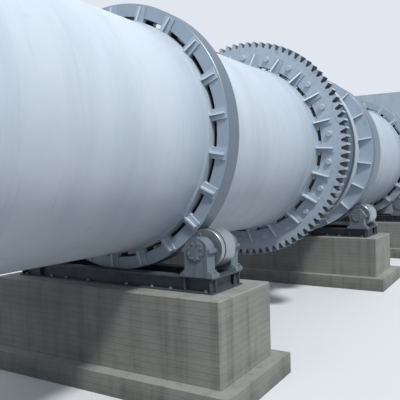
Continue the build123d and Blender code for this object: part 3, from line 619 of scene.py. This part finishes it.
# Hot-dip galvanised bolts and nuts: dull mottled zinc, oily in the corners
zincFinish = {
    "base": "#858b8f", "metallic": 0.7, "rough": {"patchMm": 60, "low": 0.4, "high": 0.6},
    "relief": {"grainMm": 8, "depthMm": 0.15},
    "layers": [
        {"sizeMm": 25, "low": 0.35, "high": 0.65, "share": 0.8, "color": "#9ea4a8"},
        {"sizeMm": 300, "low": 0.5, "high": 0.75, "share": 0.5, "color": "#4c4f51"}]}


def galvanisedBolt():
    material, tree, shader = startMaterial("galvanisedBolt", zincFinish["metallic"])
    place = addNode(tree, "TexCoord").outputs["Object"]
    color = weather(tree, place, zincFinish["base"], zincFinish["layers"])
    complete(tree, shader, place, color, zincFinish)
    return material


shellPaint = sprayedAluminium()
bracketPaint = brushedAluminium()
gearPaint = castGearPaint()
hoodPaint = rolledAlkyd("hoodAlkyd")
machinePaint = rolledAlkyd("machineAlkyd")
beamPaint = rolledAlkyd("beamAlkyd")
concrete = boardedConcrete()
brick = firedBrick()
boltZinc = galvanisedBolt()

dressing = {
    shellPaint: ["shell_feed_section", "shell_drive_section", "shell_discharge_section"],
    bracketPaint: [
        "ring_chairs_1", "ring_chairs_2", "ring_chairs_3", "gear_chairs", "shell_flange", "stop_plate"],
    gearPaint: ["girth_gear", "gear_bosses"],
    hoodPaint: [
        "feed_front_plate", "feed_casing", "feed_back_plate", "feed_chute", "burner_port", "feed_seal",
        "discharge_seal", "discharge_front_wall", "discharge_side_walls", "discharge_back_wall",
        "discharge_roof", "discharge_floor", "gas_outlet", "access_door"],
    beamPaint: ["bed_1", "bed_2", "bed_3", "drive_bed"],
    machinePaint: [
        "roller_bearings_1", "roller_bearings_2", "roller_bearings_3", "pinion_bearings", "gearbox",
        "drive_motor"],
    concrete: ["pier_1", "pier_2", "pier_3", "drive_pier", "feed_pier", "discharge_piers"],
    brick: ["lining"]}
wornFrom = {"roller": 0.435, "pinion": 0.84}    # radii past which rollers and pinion are worn bright
for number in (1, 2, 3):
    dressing[forgedRing(number)] = [f"riding_ring_{number}"]
    for side in ("front", "back"):
        node = f"roller_{number}_{side}"
        dressing[forgedRoller(f"forgedRoller{number}{side}", node + "_spin", wornFrom["roller"])] = [node]
dressing[forgedRoller("forgedPinion", "pinion_spin", wornFrom["pinion"])] = ["pinion"]
for material, nodes in dressing.items():
    for node in nodes:
        mesh = frame["nodes"][node].data
        mesh.materials.clear()
        mesh.materials.append(material)
print("finishes on the frame:", len(dressing), "materials")


# Bolts: a round washer, and a hexagon nut with a chamfered top, both in terms of the thread's diameter

boltForm = {
    "washer": [(0, 0), (1.05, 0), (1.05, 0.17), (0, 0.17)], "washerSides": 12,
    "nut": [(0, 0.17), (0.87, 0.17), (0.87, 0.85), (0.74, 0.97), (0, 0.97)], "nutSides": 6}


def bolts(thread, origins, normals):
    # the washer's and the nut's profiles * thread, turned and copied to the origins
    washer = lathe(np.multiply(boltForm["washer"], thread), boltForm["washerSides"])
    nut = lathe(np.multiply(boltForm["nut"], thread), boltForm["nutSides"])
    return copies(joined([washer, nut]), origins, normals)


def circle(x, y, z, radius, count):
    # point k = (x, y + radius * cos t, z + radius * sin t), with t = 2 pi (k + 1/2) / count
    t = (np.arange(count) + 0.5) * 2 * np.pi / count
    return np.stack([np.full(count, x), y + radius * np.cos(t), z + radius * np.sin(t)], -1)


def crossed(x, y, z):
    # every combination of the given x, y and z
    grid = np.meshgrid(np.atleast_1d(x), np.atleast_1d(y), np.atleast_1d(z), indexing="ij")
    return np.stack(grid, -1).reshape(-1, 3)


upright = (0.0, 0.0, 1.0)

# Bearings: four cap bolts and four foot bolts each, eight round the end cap, and an eye to lift the cap
bearingFit = {
    "length": 0.34, "capThickness": 0.025, "capCircle": 0.17, "capCount": 8, "radius": 0.29, "earMiddle": 0.32,
    "jointTop": 0.035, "footMiddle": 0.37, "footTop": 0.07, "alongShares": (0.2, 0.8), "capThread": 0.027,
    "footThread": 0.036, "endThread": 0.024, "eyeRadius": 0.05, "eyeTube": 0.015, "eyeSides": (14, 7)}


def liftingEye(size, tube, sides):
    # torus upright on the origin: ((size + tube cos v) cos u, tube sin v, size + (size + tube cos v) sin u)
    u = np.arange(sides[0])[:, None] * 2 * np.pi / sides[0]
    v = np.arange(sides[1])[None, :] * 2 * np.pi / sides[1]
    reach = size + tube * np.cos(v)
    points = np.stack([reach * np.cos(u), tube * np.sin(v) + 0 * u, size + reach * np.sin(u)], -1)
    return points.reshape(-1, 3), gridTriangles(*sides, True, True)


def bearingBolts(start, way, centre, bedTop, endCap=True):
    # one bearing, from the station of its mouth, towards way = -1 or 1 along the kiln
    stations = start + way * bearingFit["length"] * np.array(bearingFit["alongShares"])
    y, z = centre
    ears = crossed(stations, y + np.array([-1, 1]) * bearingFit["earMiddle"], z + bearingFit["jointTop"])
    feet = crossed(stations, y + np.array([-1, 1]) * bearingFit["footMiddle"], bedTop + bearingFit["footTop"])
    made = [bolts(bearingFit["capThread"], ears, upright), bolts(bearingFit["footThread"], feet, upright)]
    if endCap:
        face = start + way * (bearingFit["length"] + bearingFit["capThickness"])
        spots = circle(face, y, z, bearingFit["capCircle"], bearingFit["capCount"])
        made.append(bolts(bearingFit["endThread"], spots, (way, 0, 0)))
    return made


def bearingEye(start, way, centre):
    # one eye over the middle of a bearing, its tube sunk in the cap
    eye = liftingEye(bearingFit["eyeRadius"], bearingFit["eyeTube"], bearingFit["eyeSides"])
    top = centre[1] + bearingFit["radius"] - bearingFit["eyeTube"]
    return copies(eye, [(start + way * bearingFit["length"] / 2, centre[0], top)], upright)


bearingReach = bearingFit["length"] + bearingFit["capThickness"]
for number in (1, 2, 3):
    low, high = kilnBounds(f"roller_bearings_{number}")
    fasteners, eyes = [], []
    for side in ("front", "back"):
        centre = toKiln(joints[f"roller_{number}_{side}_spin"]["pos_m"])[1:]
        for start, way in ((high[0] - bearingReach, 1), (low[0] + bearingReach, -1)):
            fasteners += bearingBolts(start, way, centre, low[2])
            eyes.append(bearingEye(start, way, centre))
    addPiece(f"bearing_bolts_{number}", fasteners, "root", boltZinc)
    addPiece(f"bearing_eyes_{number}", eyes, "root", machinePaint, True)

pinionCentre = toKiln(joints["pinion_spin"]["pos_m"])[1:]
low, high = kilnBounds("pinion_bearings")
farMouth, nearMouth = high[0] - bearingReach, low[0] + bearingFit["length"]
fasteners = bearingBolts(farMouth, 1, pinionCentre, low[2])
fasteners += bearingBolts(nearMouth, -1, pinionCentre, low[2], False)
eyes = [bearingEye(farMouth, 1, pinionCentre), bearingEye(nearMouth, -1, pinionCentre)]
addPiece("pinion_bearing_bolts", fasteners, "root", boltZinc)
addPiece("pinion_bearing_eyes", eyes, "root", machinePaint, True)
print("bearing bolts and eyes")

# Anchor bolts that hold the beds to the piers, on both sides of each beam's web
anchorFit = {
    "thread": 0.042, "flange": 0.036, "beamMiddle": 0.15, "fromWeb": 0.085,
    "shares": (-0.93, -0.62, -0.45, -0.2, 0.2, 0.45, 0.62, 0.93), "driveCount": 7, "driveEnd": 0.25}
for number in (1, 2, 3):
    low, high = kilnBounds(f"bed_{number}")
    beams = np.array([low[0] + anchorFit["beamMiddle"], high[0] - anchorFit["beamMiddle"]])
    stations = (beams[:, None] + np.array([-1, 1]) * anchorFit["fromWeb"]).ravel()
    spots = crossed(stations, high[1] * np.array(anchorFit["shares"]), low[2] + anchorFit["flange"])
    addPiece(f"bed_anchors_{number}", [bolts(anchorFit["thread"], spots, upright)], "root", boltZinc)
low, high = kilnBounds("drive_bed")
inset = anchorFit["beamMiddle"] - anchorFit["fromWeb"]
stations = np.linspace(low[0] + anchorFit["driveEnd"], high[0] - anchorFit["driveEnd"], anchorFit["driveCount"])
spots = crossed(stations, [low[1] + inset, high[1] - inset], low[2] + anchorFit["flange"])
addPiece("drive_bed_anchors", [bolts(anchorFit["thread"], spots, upright)], "root", boltZinc)

# Flange bolts of the seals, the gas outlet, the chute, the burner port, the door's frame and the hoods' end
# plates. Their seat lies at the low (0) or high (1) end of a node along the kiln, or another axis, and so far
# on; they point up (1) or down (-1) that axis, and stand in from the rim by edge, round a circle or rectangle.
# The middle is the node's unless it is given, and tall is the height of a flange at the node's top
flangeThread = 0.024
flangeFit = {
    "seal_bolts": {
        "feed_seal": {"end": 0, "on": 0.03, "way": 1, "middle": (0, 0), "edge": 0.055, "count": 48},
        "discharge_seal": {"end": 1, "on": -0.03, "way": -1, "middle": (0, 0), "edge": 0.055, "count": 48}},
    "hood_bolts": {
        "gas_outlet": {"end": 1, "on": -0.045, "way": -1, "edge": 0.07, "count": 40},
        "feed_chute": {"end": 0, "on": 0.05, "way": 1, "edge": 0.045, "pitch": 0.2, "tall": 1.48},
        "burner_port": {"end": 0, "on": 0.06, "way": -1, "edge": 0.045, "count": 14},
        "access_door": {"axis": 1, "end": 1, "on": -0.06, "way": -1, "edge": 0.035, "pitch": 0.4}},
    "plate_bolts": {
        "feed_back_plate": {"end": 0, "on": 0, "way": -1, "edge": 0.03, "pitch": 0.3},
        "feed_front_plate": {"end": 1, "on": 0, "way": 1, "edge": 0.03, "pitch": 0.3},
        "discharge_back_wall": {"end": 1, "on": 0, "way": 1, "edge": 0.11, "pitch": 0.4, "thread": 0.03}}}


def rectangle(middle, halfWide, halfTall, pitch):
    # (u, v) points evenly spaced along the four sides of a rectangle
    wide = np.linspace(-halfWide, halfWide, round(2 * halfWide / pitch) + 1)
    tall = np.linspace(-halfTall, halfTall, round(2 * halfTall / pitch) + 1)[1:-1]
    sides = [np.stack([wide, np.full(len(wide), v)], -1) for v in (-halfTall, halfTall)]
    sides += [np.stack([np.full(len(tall), u), tall], -1) for u in (-halfWide, halfWide)]
    return np.vstack(sides) + middle


for piece, nodes in flangeFit.items():
    sets = []
    for node, fit in nodes.items():
        axis = fit.get("axis", 0)
        low, high = kilnBounds(node)
        seat = (low, high)[fit["end"]][axis] + fit["on"]
        low[2] = high[2] - fit.get("tall", high[2] - low[2])
        middle = fit.get("middle", np.delete((low + high) / 2, axis))
        half = np.delete(high, axis) - middle - fit["edge"]
        if "count" in fit:
            spots = circle(seat, *middle, half[0], fit["count"])
        else:
            spots = np.insert(rectangle(middle, *half, fit["pitch"]), axis, seat, 1)
        sets.append(bolts(fit.get("thread", flangeThread), spots, fit["way"] * np.eye(3)[axis]))
    addPiece(piece, sets, "root", boltZinc)

# Gearbox: bolts through its joint and its foot; coupling: two rings of bolts that turn with the pinion
driveFit = {
    "jointTop": 0.05, "jointEdge": 0.02, "footLip": 0.06, "jointThread": 0.018, "footThread": 0.027,
    "footTop": 0.07, "jointCount": 8, "footCount": 5, "endGap": 0.15, "couplingMiddle": 0.946,
    "couplingHalf": 0.065, "couplingCircle": 0.26, "couplingCount": 12, "couplingThread": 0.03,
    "eyeShares": (0.25, 0.75), "eyeRadius": 0.07, "eyeTube": 0.02}
low, high = kilnBounds("gearbox")
stations = np.linspace(low[0] + driveFit["endGap"], high[0] - driveFit["endGap"], driveFit["jointCount"])
inset = driveFit["footLip"] - driveFit["jointEdge"]
spots = crossed(stations, [low[1] + inset, high[1] - inset], pinionCentre[1] + driveFit["jointTop"])
gearboxBolts = [bolts(driveFit["jointThread"], spots, upright)]
stations = np.linspace(low[0] + driveFit["endGap"], high[0] - driveFit["endGap"], driveFit["footCount"])
inset = driveFit["footLip"] / 2
spots = crossed(stations, [low[1] + inset, high[1] - inset], low[2] + driveFit["footTop"])
gearboxBolts.append(bolts(driveFit["footThread"], spots, upright))
addPiece("gearbox_bolts", gearboxBolts, "root", boltZinc)
stations = low[0] + (high[0] - low[0]) * np.array(driveFit["eyeShares"])
seats = crossed(stations, pinionCentre[0], high[2] - driveFit["eyeTube"])
eye = liftingEye(driveFit["eyeRadius"], driveFit["eyeTube"], bearingFit["eyeSides"])
addPiece("gearbox_eyes", [copies(eye, seats, upright)], "root", machinePaint, True)
couplingBolts = []
gearMiddle = sum(gearSpan) / 2
for way in (-1, 1):
    face = gearMiddle - driveFit["couplingMiddle"] + way * driveFit["couplingHalf"]
    spots = circle(face, *pinionCentre, driveFit["couplingCircle"], driveFit["couplingCount"])
    couplingBolts.append(bolts(driveFit["couplingThread"], spots, (way, 0, 0)))
addPiece("coupling_bolts", couplingBolts, "pinion", boltZinc)
print("anchors, flange bolts, gearbox and coupling bolts")

# Welds of the shell: beads round it between its plates and, staggered, along it
seamFit = {
    "radius": 2.8, "width": 0.028, "height": 0.0016, "sink": 0.3, "acrossSteps": 5, "roundSteps": 180,
    "rounds": (-18.3, -15.9, -14.0, -11.1, -9.2, -7.4, -4.3, -2.1, 1.7, 3.6, 5.6, 7.1, 9.1), "firstSeam": 4.1,
    "stagger": 1.5}


def weldBead(path, outward, closed=False):
    # point = path - side * width / 2 * cos p + outward * height * sin p, for p a little past 0 and pi
    ahead = np.roll(path, -1, 0) - path
    if not closed:
        ahead[-1] = ahead[-2]
    ahead /= np.linalg.norm(ahead, axis=1, keepdims=True)
    side = np.cross(ahead, outward)
    steps = seamFit["acrossSteps"]
    p = np.linspace(-seamFit["sink"], np.pi + seamFit["sink"], steps)[None, :, None]
    points = (path[:, None] - side[:, None] * seamFit["width"] / 2 * np.cos(p)
              + outward[:, None] * seamFit["height"] * np.sin(p))
    faces = gridTriangles(len(path), steps, closed, True)
    if not closed:
        k = np.arange(1, steps - 1)
        end = np.stack([0 * k, k, k + 1], -1)
        faces = np.vstack([faces, end[:, ::-1], end + (len(path) - 1) * steps])
    return points.reshape(-1, 3), faces


turn = np.arange(seamFit["roundSteps"]) * 2 * np.pi / seamFit["roundSteps"]
seams = [weldBead(turnedPoint(x, seamFit["radius"], turn), turnedPoint(0.0, 1.0, turn), True)
         for x in seamFit["rounds"]]
for index, (start, end) in enumerate(zip(seamFit["rounds"][:-1], seamFit["rounds"][1:])):
    angle = seamFit["firstSeam"] + index % 2 * seamFit["stagger"]
    along = np.array([start, end])
    seams.append(weldBead(turnedPoint(along, seamFit["radius"], angle), turnedPoint(0 * along, 1.0, angle)))
addPiece("shell_welds", seams, "kiln", shellPaint, True)

# Fillet welds that hold the chairs on the shell: along both sides of each pad and of each rib's foot
chairFit = {
    "band": 2.84, "ribHalf": 0.021, "leg": 0.016,
    "sets": {
        "ring_chairs_1": {"count": 22, "first": 91.3, "padHalf": 0.13, "foot": 0.09},
        "ring_chairs_2": {"count": 20, "first": 99.2, "padHalf": 0.13, "foot": 0.09},
        "ring_chairs_3": {"count": 20, "first": 103.7, "padHalf": 0.13, "foot": 0.09},
        "gear_chairs": {"count": 22, "first": 100.0, "padHalf": 0.235, "foot": 0.3}}}


def fillets(start, end, half, angles):
    # prisms from start to end beside blocks of a half width: one leg out along the shell, sunk by a quarter,
    # and one up the block, whose sides stand half ** 2 / (2 * radius) lower than the top of the band
    shapes = []
    leg = chairFit["leg"]
    seat = chairFit["band"] - half * half / (2 * chairFit["band"])
    angles = angles[:, None]
    for side in (-1, 1):
        rows = [turnedPoint(x, seat + up, angles) + turnedPoint(0.0, side * out, angles + np.pi / 2)
                for x in (start, end) for out, up in ((half, 0.0), (half + leg, -leg / 4), (half, leg))]
        prism = np.array([[0, 2, 1], [3, 4, 5], [1, 2, 5], [1, 5, 4], [0, 1, 4], [0, 4, 3], [0, 3, 5], [0, 5, 2]])
        if side > 0:
            prism = prism[:, ::-1]
        shift = (np.arange(len(angles)) * 6)[:, None, None]
        shapes.append((np.concatenate(rows, 1).reshape(-1, 3), (prism[None] + shift).reshape(-1, 3)))
    return shapes


chairWelds = []
for node, fit in chairFit["sets"].items():
    low, high = kilnBounds(node)
    angles = np.radians(fit["first"] + np.arange(fit["count"]) * 360 / fit["count"])
    chairWelds += fillets(low[0] + fit["foot"], high[0] - fit["foot"], fit["padHalf"], angles)
    chairWelds += fillets(low[0], low[0] + fit["foot"], chairFit["ribHalf"], angles)
    chairWelds += fillets(high[0] - fit["foot"], high[0], chairFit["ribHalf"], angles)
addPiece("chair_welds", chairWelds, "kiln", bracketPaint)
print("welds")


# Floor, light and camera

studio = {
    "floorSeen": "#d6d8d9", "floorBounce": "#84868a", "floorRough": 0.9, "floorHalf": 400.0,
    "skyColor": "#e9f0f9", "horizonStrength": 0.5, "zenithStrength": 0.74, "seenStrength": 0.92,
    "sunStrength": 2.6, "sunAngle": 7.0, "sunFrom": (-0.26, -0.5, 0.83)}


def lookedAt(tree):
    # 1 for what the camera and reflections see, 0 for the light that falls on the kiln
    path = addNode(tree, "LightPath")
    return greatest(tree, path.outputs["Is Camera Ray"], path.outputs["Is Glossy Ray"])


def paleFloor():
    # pale to the camera and in reflections, darker in the light that it throws back
    half = studio["floorHalf"]
    material, tree, shader = startMaterial("paleFloor")
    color = coat(tree, studio["floorBounce"], studio["floorSeen"], lookedAt(tree))
    setInputs(tree, shader, {"Base Color": color, "Roughness": studio["floorRough"]})
    mesh = bpy.data.meshes.new("floor")
    mesh.from_pydata([(-half, -half, 0), (half, -half, 0), (half, half, 0), (-half, half, 0)], [], [(0, 1, 2, 3)])
    mesh.materials.append(material)
    floor = bpy.data.objects.new("floor", mesh)
    bpy.context.scene.collection.objects.link(floor)


def softLight():
    # a soft sun above the open side, and a sky that is brighter overhead than at the horizon
    lamp = bpy.data.lights.new("softSun", "SUN")
    lamp.energy = studio["sunStrength"]
    lamp.angle = math.radians(studio["sunAngle"])
    sun = bpy.data.objects.new("softSun", lamp)
    sun.rotation_euler = Vector(studio["sunFrom"]).to_track_quat("Z", "Y").to_euler()
    bpy.context.scene.collection.objects.link(sun)
    world = bpy.data.worlds.new("sky")
    world.use_nodes = True
    tree = world.node_tree
    place = addNode(tree, "TexCoord").outputs["Generated"]
    height = addNode(tree, "SeparateXYZ", {"Vector": place}).outputs[2]
    glow = addNode(tree, "MapRange", {
        "Value": height, "To Min": studio["horizonStrength"], "To Max": studio["zenithStrength"]})
    strength = addNode(tree, "Mix", {0: lookedAt(tree), 2: glow, 3: studio["seenStrength"]})
    setInputs(tree, tree.nodes["Background"], {"Color": studio["skyColor"], "Strength": strength})
    bpy.context.scene.world = world


cameraView = {
    "place": (-23.502, -8.883, 5.039), "yaw": 31.46, "pitch": 3.13, "roll": 1.78, "focalPixels": 544.6,
    "imagePixels": 400, "sensor": 36.0, "clipEnd": 2000.0}


def photoCamera():
    # forward from yaw and pitch; right is level and then rolled; the camera looks along its own -z
    yaw, pitch, roll = (math.radians(cameraView[key]) for key in ("yaw", "pitch", "roll"))
    forward = np.array([math.cos(yaw) * math.cos(pitch), math.sin(yaw) * math.cos(pitch), -math.sin(pitch)])
    level = np.array([math.sin(yaw), -math.cos(yaw), 0.0])
    down = np.cross(forward, level)
    right = level * math.cos(roll) + down * math.sin(roll)
    up = level * math.sin(roll) - down * math.cos(roll)
    lens = bpy.data.cameras.new("camera")
    lens.sensor_width = cameraView["sensor"]
    lens.lens = cameraView["focalPixels"] / cameraView["imagePixels"] * cameraView["sensor"]
    lens.clip_end = cameraView["clipEnd"]
    camera = bpy.data.objects.new("camera", lens)
    placed = np.eye(4)
    placed[:3] = np.column_stack([right, up, -forward, cameraView["place"]])
    camera.matrix_world = Matrix(placed.tolist())
    bpy.context.scene.collection.objects.link(camera)
    bpy.context.scene.camera = camera


paleFloor()
softLight()
photoCamera()
bpy.context.scene.view_settings.view_transform = "Standard"
print("floor, light and camera")
